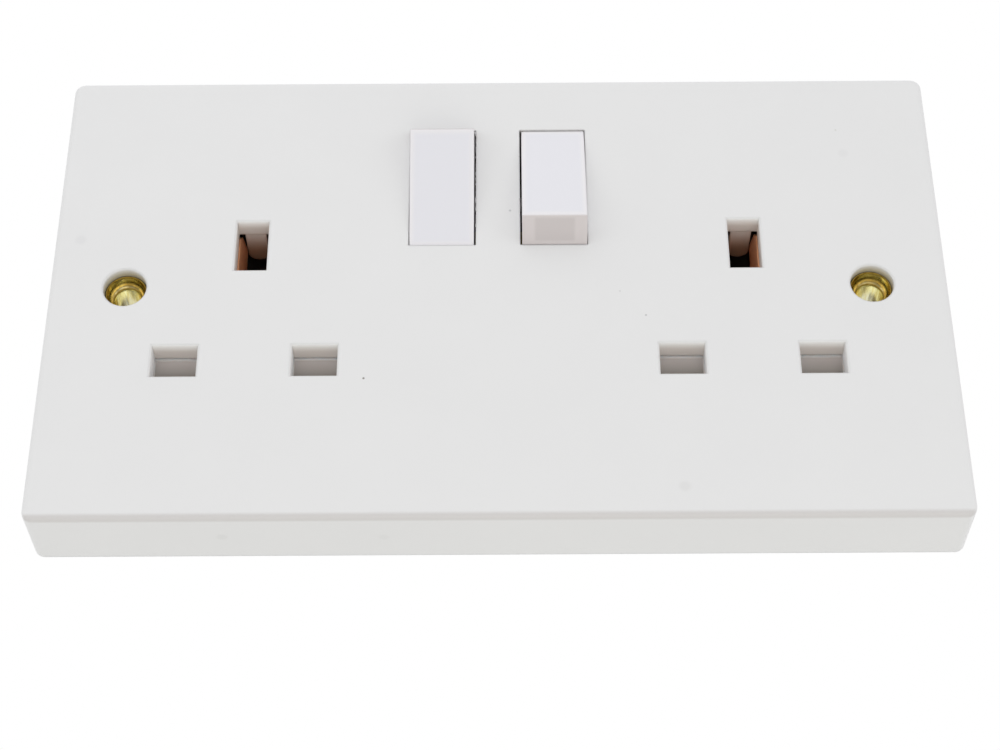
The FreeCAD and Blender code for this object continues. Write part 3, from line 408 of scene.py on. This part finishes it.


# Eyelets: drawn brass, riveted in the fixing holes. Each is turned about its hole: a thin lip,
# a cup with a rounded floor, and a bore. The cup has dulled in patches, and painted shade darkens
# it more towards its top. The lip and the crease are painted dark brown as shade. The bore is still
# bright, with the streaks of drawing.
brass_of = {}
for part_of_it, dark, light, dulling_and_shade, roughness, fineness in (
        ("cup", (0.74, 0.55, 0.20, 1.0), (1.0, 0.86, 0.42, 1.0), 0.70, 0.22, 1600.0),
        ("crease", (0.26, 0.17, 0.03, 1.0), (0.36, 0.25, 0.06, 1.0), 0.0, 0.40, 1600.0),
        ("bore", (0.86, 0.76, 0.38, 1.0), (1.0, 1.0, 0.76, 1.0), 0.0, 0.20, 3400.0)):
    brass = bpy.data.materials.new("drawn brass " + part_of_it)
    brass.use_nodes = True
    tree = brass.node_tree
    metal = tree.nodes["Principled BSDF"]
    metal.inputs["Metallic"].default_value = 1.0
    metal.inputs["Roughness"].default_value = roughness
    metal.inputs["Specular Tint"].default_value = (1.0, 0.88, 0.55, 1.0)
    coordinates = tree.nodes.new("ShaderNodeTexCoord")
    stretch = tree.nodes.new("ShaderNodeMapping")
    stretch.inputs["Scale"].default_value = (1.0, 0.08, 1.0)
    tree.links.new(coordinates.outputs["Object"], stretch.inputs["Vector"])
    streaks = tree.nodes.new("ShaderNodeTexNoise")
    streaks.inputs["Scale"].default_value = fineness
    streaks.inputs["Detail"].default_value = 3.0
    tree.links.new(stretch.outputs["Vector"], streaks.inputs["Vector"])
    drawn = tree.nodes.new("ShaderNodeMapRange")
    drawn.inputs["From Min"].default_value = 0.30
    drawn.inputs["From Max"].default_value = 0.60
    tree.links.new(streaks.outputs["Fac"], drawn.inputs["Value"])
    colour = tree.nodes.new("ShaderNodeMix")
    colour.data_type = "RGBA"
    colour.inputs["A"].default_value = dark
    colour.inputs["B"].default_value = light
    tree.links.new(drawn.outputs["Result"], colour.inputs["Factor"])
    tarnish = tree.nodes.new("ShaderNodeTexNoise")
    tarnish.inputs["Scale"].default_value = 520.0
    tarnish.inputs["Detail"].default_value = 2.0
    tree.links.new(coordinates.outputs["Object"], tarnish.inputs["Vector"])
    height = tree.nodes.new("ShaderNodeSeparateXYZ")
    tree.links.new(coordinates.outputs["Object"], height.inputs["Vector"])
    tarnish_and_top_shade = tree.nodes.new("ShaderNodeMath")
    tarnish_and_top_shade.operation = "MULTIPLY_ADD"
    tarnish_and_top_shade.inputs[1].default_value = 140.0
    tree.links.new(height.outputs["Z"], tarnish_and_top_shade.inputs[0])
    tree.links.new(tarnish.outputs["Fac"], tarnish_and_top_shade.inputs[2])
    spread = tree.nodes.new("ShaderNodeMapRange")
    spread.interpolation_type = "SMOOTHSTEP"
    spread.inputs["From Min"].default_value = 0.62
    spread.inputs["From Max"].default_value = 0.85
    spread.inputs["To Max"].default_value = dulling_and_shade
    tree.links.new(tarnish_and_top_shade.outputs["Value"], spread.inputs["Value"])
    # Painted shade, darker towards the top of the cup, over patches of real tarnish.
    dulled_and_shaded = tree.nodes.new("ShaderNodeMix")
    dulled_and_shaded.data_type = "RGBA"
    dulled_and_shaded.inputs["B"].default_value = (0.20, 0.145, 0.050, 1.0)
    tree.links.new(spread.outputs["Result"], dulled_and_shaded.inputs["Factor"])
    tree.links.new(colour.outputs["Result"], dulled_and_shaded.inputs["A"])
    tree.links.new(dulled_and_shaded.outputs["Result"], metal.inputs["Base Color"])
    grain = tree.nodes.new("ShaderNodeBump")
    grain.inputs["Strength"].default_value = 0.25
    grain.inputs["Distance"].default_value = 0.00005
    tree.links.new(streaks.outputs["Fac"], grain.inputs["Height"])
    tree.links.new(grain.outputs["Normal"], metal.inputs["Normal"])
    brass_of[part_of_it] = brass
# The profile has a radius and a depth behind the face, in millimetres, for each ring.
profile = np.array([
    (3.38, 4.15), (3.38, 1.88), (3.33, 1.78), (3.25, 1.75), (3.18, 1.80), (3.14, 1.92),
    (3.12, 2.20), (3.08, 2.55), (3.01, 2.88), (2.90, 3.18), (2.76, 3.44), (2.60, 3.64),
    (2.46, 3.76), (2.38, 3.83), (2.30, 3.85), (2.24, 3.92), (2.20, 4.10), (2.20, 4.40),
    (2.20, 11.60), (2.20, 11.90), (2.24, 12.10), (2.34, 12.19), (2.56, 12.19), (2.66, 12.10),
    (2.70, 11.90), (2.70, 4.30), (2.80, 4.19)])
kinds = ("cup", "crease", "bore")
# The lip takes the dark crease brass too, as painted shade in place of its highlight.
kind_of_ring = [0] + [1] * 4 + [0] * 7 + [1] * 3 + [2] * 6 + [0] * 6
turns = 96
angles = np.arange(turns) * 2 * math.pi / turns
for side, centre in (("left", -hole_x), ("right", hole_x)):
    rings = []
    for radius, depth in profile / 1000:
        rings.append(np.column_stack([centre + radius * np.cos(angles),
                                      np.full(turns, depth + face_y),
                                      radius * np.sin(angles)]))
    faces = []
    kind_of_face = []
    for ring in range(len(profile)):
        following = (ring + 1) % len(profile)
        for step in range(turns):
            beside = (step + 1) % turns
            faces.append((ring * turns + step, ring * turns + beside,
                          following * turns + beside, following * turns + step))
            kind_of_face.append(kind_of_ring[ring])
    mesh = bpy.data.meshes.new("turned_eyelet_" + side)
    mesh.from_pydata(np.concatenate(rings).tolist(), [], faces)
    mesh.polygons.foreach_set("use_smooth", [True] * len(faces))
    for kind in kinds:
        mesh.materials.append(brass_of[kind])
    mesh.polygons.foreach_set("material_index", kind_of_face)
    piece = bpy.data.objects.new("turned_eyelet_" + side, mesh)
    bpy.context.scene.collection.objects.link(piece)
    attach(piece, "housing")
    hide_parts("eyelet_" + side)


# Shutters: grey-white plastic that closes the line and neutral slots from behind. Below the top
# of each slot it is painted greyer downwards, as shade. Where the plate covers it, and along the
# top of each slot, it is painted lighter, as light over the shadow of the gap behind the plate.
shutter_plastic = bpy.data.materials.new("shutter plastic")
shutter_plastic.use_nodes = True
tree = shutter_plastic.node_tree
plastic = tree.nodes["Principled BSDF"]
plastic.inputs["Roughness"].default_value = 0.5
plastic.inputs["Subsurface Weight"].default_value = 1.0
plastic.inputs["Subsurface Radius"].default_value = (1.0, 0.9, 0.85)
plastic.inputs["Subsurface Scale"].default_value = 0.0014
outlet_x = 0.04025
half_pitch = 0.01111
coordinates = tree.nodes.new("ShaderNodeTexCoord")
cloud = tree.nodes.new("ShaderNodeTexNoise")
cloud.inputs["Scale"].default_value = 160.0
tree.links.new(coordinates.outputs["Object"], cloud.inputs["Vector"])
colour = tree.nodes.new("ShaderNodeMix")
colour.data_type = "RGBA"
colour.inputs["A"].default_value = (0.74, 0.685, 0.665, 1.0)
colour.inputs["B"].default_value = (0.68, 0.630, 0.610, 1.0)
tree.links.new(cloud.outputs["Fac"], colour.inputs["Factor"])
height = tree.nodes.new("ShaderNodeSeparateXYZ")
tree.links.new(coordinates.outputs["Object"], height.inputs["Vector"])
# Painted shade: darker downwards from the top of each slot.
shade_downwards = tree.nodes.new("ShaderNodeMapRange")
shade_downwards.inputs["From Min"].default_value = -0.0112
shade_downwards.inputs["From Max"].default_value = -0.0146
tree.links.new(height.outputs["Z"], shade_downwards.inputs["Value"])
painted_shade = tree.nodes.new("ShaderNodeMix")
painted_shade.data_type = "RGBA"
painted_shade.inputs["B"].default_value = (0.30, 0.272, 0.245, 1.0)
tree.links.new(shade_downwards.outputs["Result"], painted_shade.inputs["Factor"])
tree.links.new(colour.outputs["Result"], painted_shade.inputs["A"])
# Painted light: a lighter band along the top of each slot and under the plate.
top_band = tree.nodes.new("ShaderNodeMapRange")
top_band.inputs["From Min"].default_value = -0.0117
top_band.inputs["From Max"].default_value = -0.0114
tree.links.new(height.outputs["Z"], top_band.inputs["Value"])
from_slot = height.outputs["X"]
for offset in (0.0, outlet_x, half_pitch):
    moved = tree.nodes.new("ShaderNodeMath")
    moved.operation = "SUBTRACT"
    moved.inputs[1].default_value = offset
    tree.links.new(from_slot, moved.inputs[0])
    unsigned = tree.nodes.new("ShaderNodeMath")
    unsigned.operation = "ABSOLUTE"
    tree.links.new(moved.outputs["Value"], unsigned.inputs[0])
    from_slot = unsigned.outputs["Value"]
covered_beside = tree.nodes.new("ShaderNodeMapRange")
covered_beside.inputs["From Min"].default_value = 0.00345
covered_beside.inputs["From Max"].default_value = 0.00365
tree.links.new(from_slot, covered_beside.inputs["Value"])
lifted_band = tree.nodes.new("ShaderNodeMath")
lifted_band.operation = "MAXIMUM"
tree.links.new(top_band.outputs["Result"], lifted_band.inputs[0])
tree.links.new(covered_beside.outputs["Result"], lifted_band.inputs[1])
painted_light_band = tree.nodes.new("ShaderNodeMix")
painted_light_band.data_type = "RGBA"
painted_light_band.inputs["B"].default_value = (1.0, 0.950, 0.925, 1.0)
tree.links.new(lifted_band.outputs["Value"], painted_light_band.inputs["Factor"])
tree.links.new(painted_shade.outputs["Result"], painted_light_band.inputs["A"])
tree.links.new(painted_light_band.outputs["Result"], plastic.inputs["Base Color"])
for side in ("left", "right"):
    nodes["shutter_" + side].data.materials.clear()
    nodes["shutter_" + side].data.materials.append(shutter_plastic)


# Earth contacts, line contacts and switch blades: copper alloy sheet, tarnished brown in places.
copper = bpy.data.materials.new("tarnished copper")
copper.use_nodes = True
tree = copper.node_tree
metal = tree.nodes["Principled BSDF"]
metal.inputs["Metallic"].default_value = 0.55
metal.inputs["Roughness"].default_value = 0.42
coordinates = tree.nodes.new("ShaderNodeTexCoord")
patches = tree.nodes.new("ShaderNodeTexNoise")
patches.inputs["Scale"].default_value = 350.0
tree.links.new(coordinates.outputs["Object"], patches.inputs["Vector"])
colour = tree.nodes.new("ShaderNodeMix")
colour.data_type = "RGBA"
colour.inputs["A"].default_value = (0.94, 0.49, 0.27, 1.0)
colour.inputs["B"].default_value = (0.62, 0.285, 0.15, 1.0)
tree.links.new(patches.outputs["Fac"], colour.inputs["Factor"])
tree.links.new(colour.outputs["Result"], metal.inputs["Base Color"])
for name in ("earth_contact_left", "earth_contact_right", "line_contact_left",
             "line_contact_right", "switch_blade_left", "switch_blade_right"):
    nodes[name].data.materials.clear()
    nodes[name].data.materials.append(copper)


# Bars, strap and terminals: bright stamped brass.
stamped_brass = bpy.data.materials.new("stamped brass")
stamped_brass.use_nodes = True
tree = stamped_brass.node_tree
metal = tree.nodes["Principled BSDF"]
metal.inputs["Metallic"].default_value = 1.0
metal.inputs["Roughness"].default_value = 0.35
coordinates = tree.nodes.new("ShaderNodeTexCoord")
patches = tree.nodes.new("ShaderNodeTexNoise")
patches.inputs["Scale"].default_value = 180.0
tree.links.new(coordinates.outputs["Object"], patches.inputs["Vector"])
colour = tree.nodes.new("ShaderNodeMix")
colour.data_type = "RGBA"
colour.inputs["A"].default_value = (0.66, 0.48, 0.18, 1.0)
colour.inputs["B"].default_value = (0.54, 0.38, 0.13, 1.0)
tree.links.new(patches.outputs["Fac"], colour.inputs["Factor"])
tree.links.new(colour.outputs["Result"], metal.inputs["Base Color"])
for name in ("earth_strap", "line_supply_bar", "neutral_bar", "line_terminal", "earth_terminal",
             "neutral_terminal"):
    nodes[name].data.materials.clear()
    nodes[name].data.materials.append(stamped_brass)


# Screws: zinc-plated steel, a little dull.
plated = bpy.data.materials.new("plated steel")
plated.use_nodes = True
tree = plated.node_tree
metal = tree.nodes["Principled BSDF"]
metal.inputs["Metallic"].default_value = 1.0
metal.inputs["Roughness"].default_value = 0.35
coordinates = tree.nodes.new("ShaderNodeTexCoord")
cloud = tree.nodes.new("ShaderNodeTexNoise")
cloud.inputs["Scale"].default_value = 600.0
tree.links.new(coordinates.outputs["Object"], cloud.inputs["Vector"])
colour = tree.nodes.new("ShaderNodeMix")
colour.data_type = "RGBA"
colour.inputs["A"].default_value = (0.56, 0.56, 0.55, 1.0)
colour.inputs["B"].default_value = (0.40, 0.40, 0.37, 1.0)
tree.links.new(cloud.outputs["Fac"], colour.inputs["Factor"])
tree.links.new(colour.outputs["Result"], metal.inputs["Base Color"])
for name in ("cover_screws", "line_terminal_screw", "earth_terminal_screw",
             "neutral_terminal_screw"):
    nodes[name].data.materials.clear()
    nodes[name].data.materials.append(plated)


# Springs: drawn wire, wound as round helices with closed ends. A shutter's spring stands on its
# ledge, fixed to the housing; in the socket the shutter presses it down. A switch's spring sits in
# its rocker and tilts too.
wire_steel = bpy.data.materials.new("spring wire")
wire_steel.use_nodes = True
tree = wire_steel.node_tree
metal = tree.nodes["Principled BSDF"]
metal.inputs["Metallic"].default_value = 1.0
metal.inputs["Roughness"].default_value = 0.28
coordinates = tree.nodes.new("ShaderNodeTexCoord")
cloud = tree.nodes.new("ShaderNodeTexNoise")
cloud.inputs["Scale"].default_value = 900.0
tree.links.new(coordinates.outputs["Object"], cloud.inputs["Vector"])
colour = tree.nodes.new("ShaderNodeMix")
colour.data_type = "RGBA"
colour.inputs["A"].default_value = (0.42, 0.42, 0.43, 1.0)
colour.inputs["B"].default_value = (0.30, 0.30, 0.31, 1.0)
tree.links.new(cloud.outputs["Fac"], colour.inputs["Factor"])
tree.links.new(colour.outputs["Result"], metal.inputs["Base Color"])
wire = 0.00022
closed_pitch = 2.1 * wire
coil_steps = 24
closed_steps = 20
facets = 8
for kind, side, foot, along, radius, length, coils in (
        ("shutter", "left", (-outlet_x, -0.00705, -0.03005), (0.0, 0.0, 1.0), 0.00160, 0.0120, 7),
        ("shutter", "right", (outlet_x, -0.00705, -0.03005), (0.0, 0.0, 1.0), 0.00160, 0.0120, 7),
        ("switch", "left", (-rocker_x, -0.0119, pivot_z), (0.0, 1.0, 0.0), 0.00123, 0.0044, 5),
        ("switch", "right", (rocker_x, -0.0119, pivot_z), (0.0, 1.0, 0.0), 0.00123, 0.0044, 5)):
    steps = coils * coil_steps
    count = np.arange(steps + 1)
    angle = count * 2 * math.pi / coil_steps
    share = np.clip((count - closed_steps) / (steps - 2 * closed_steps), 0, 1)
    height = wire + closed_pitch * np.minimum(count, closed_steps) / coil_steps
    top = wire + closed_pitch * np.minimum(steps - count, closed_steps) / coil_steps
    height = height * (1 - share) + (length - top) * share
    axis = np.array(along)
    across = np.array((1.0, 0.0, 0.0))
    other = np.cross(axis, across)
    outward = np.outer(np.cos(angle), across) + np.outer(np.sin(angle), other)
    line = np.array(foot) + outward * radius + np.outer(height, axis)
    section = np.arange(facets) * 2 * math.pi / facets
    points = (line[:, None, :] + wire * np.cos(section)[None, :, None] * outward[:, None, :]
              + wire * np.sin(section)[None, :, None] * axis[None, None, :])
    if kind == "switch":
        turn = math.radians(rest_tilt if side == "left" else -rest_tilt)
        pivot = np.array((0.0, pivot_y, pivot_z))
        rotate = np.array(((1, 0, 0),
                           (0, math.cos(turn), -math.sin(turn)),
                           (0, math.sin(turn), math.cos(turn))))
        points = (points - pivot) @ rotate.T + pivot
    faces = [tuple(reversed(range(facets))), tuple(range(steps * facets, (steps + 1) * facets))]
    for step in range(steps):
        near = step * facets
        far = near + facets
        for corner in range(facets):
            beside = (corner + 1) % facets
            faces.append((near + corner, near + beside, far + beside, far + corner))
    mesh = bpy.data.meshes.new("wound_" + kind + "_spring_" + side)
    mesh.from_pydata(points.reshape(-1, 3).tolist(), [], faces)
    mesh.polygons.foreach_set("use_smooth", [True] * len(faces))
    mesh.materials.append(wire_steel)
    piece = bpy.data.objects.new(mesh.name, mesh)
    bpy.context.scene.collection.objects.link(piece)
    if kind == "shutter":
        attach(piece, "housing")
        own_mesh(piece)
    else:
        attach(piece, "rocker_" + side)
    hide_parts(kind + "_spring_" + side)


# Rear moulding and plungers: matt plastic, the plungers pale nylon and the moulding dark brown.
# The moulding's dark brown is painted shade: it shows only as the darkness behind the slots.
for matt_name, light, dark, scale, names in (
        ("rear plastic", (0.145, 0.110, 0.093, 1.0), (0.100, 0.077, 0.066, 1.0), 220.0,
         ("base_moulding",)),
        ("pale nylon", (0.72, 0.71, 0.66, 1.0), (0.66, 0.65, 0.60, 1.0), 300.0,
         ("plunger_left", "plunger_right"))):
    matt = bpy.data.materials.new(matt_name)
    matt.use_nodes = True
    tree = matt.node_tree
    plastic = tree.nodes["Principled BSDF"]
    plastic.inputs["Roughness"].default_value = 0.55
    coordinates = tree.nodes.new("ShaderNodeTexCoord")
    cloud = tree.nodes.new("ShaderNodeTexNoise")
    cloud.inputs["Scale"].default_value = scale
    tree.links.new(coordinates.outputs["Object"], cloud.inputs["Vector"])
    colour = tree.nodes.new("ShaderNodeMix")
    colour.data_type = "RGBA"
    colour.inputs["A"].default_value = light
    colour.inputs["B"].default_value = dark
    tree.links.new(cloud.outputs["Fac"], colour.inputs["Factor"])
    tree.links.new(colour.outputs["Result"], plastic.inputs["Base Color"])
    for name in names:
        nodes[name].data.materials.clear()
        nodes[name].data.materials.append(matt)
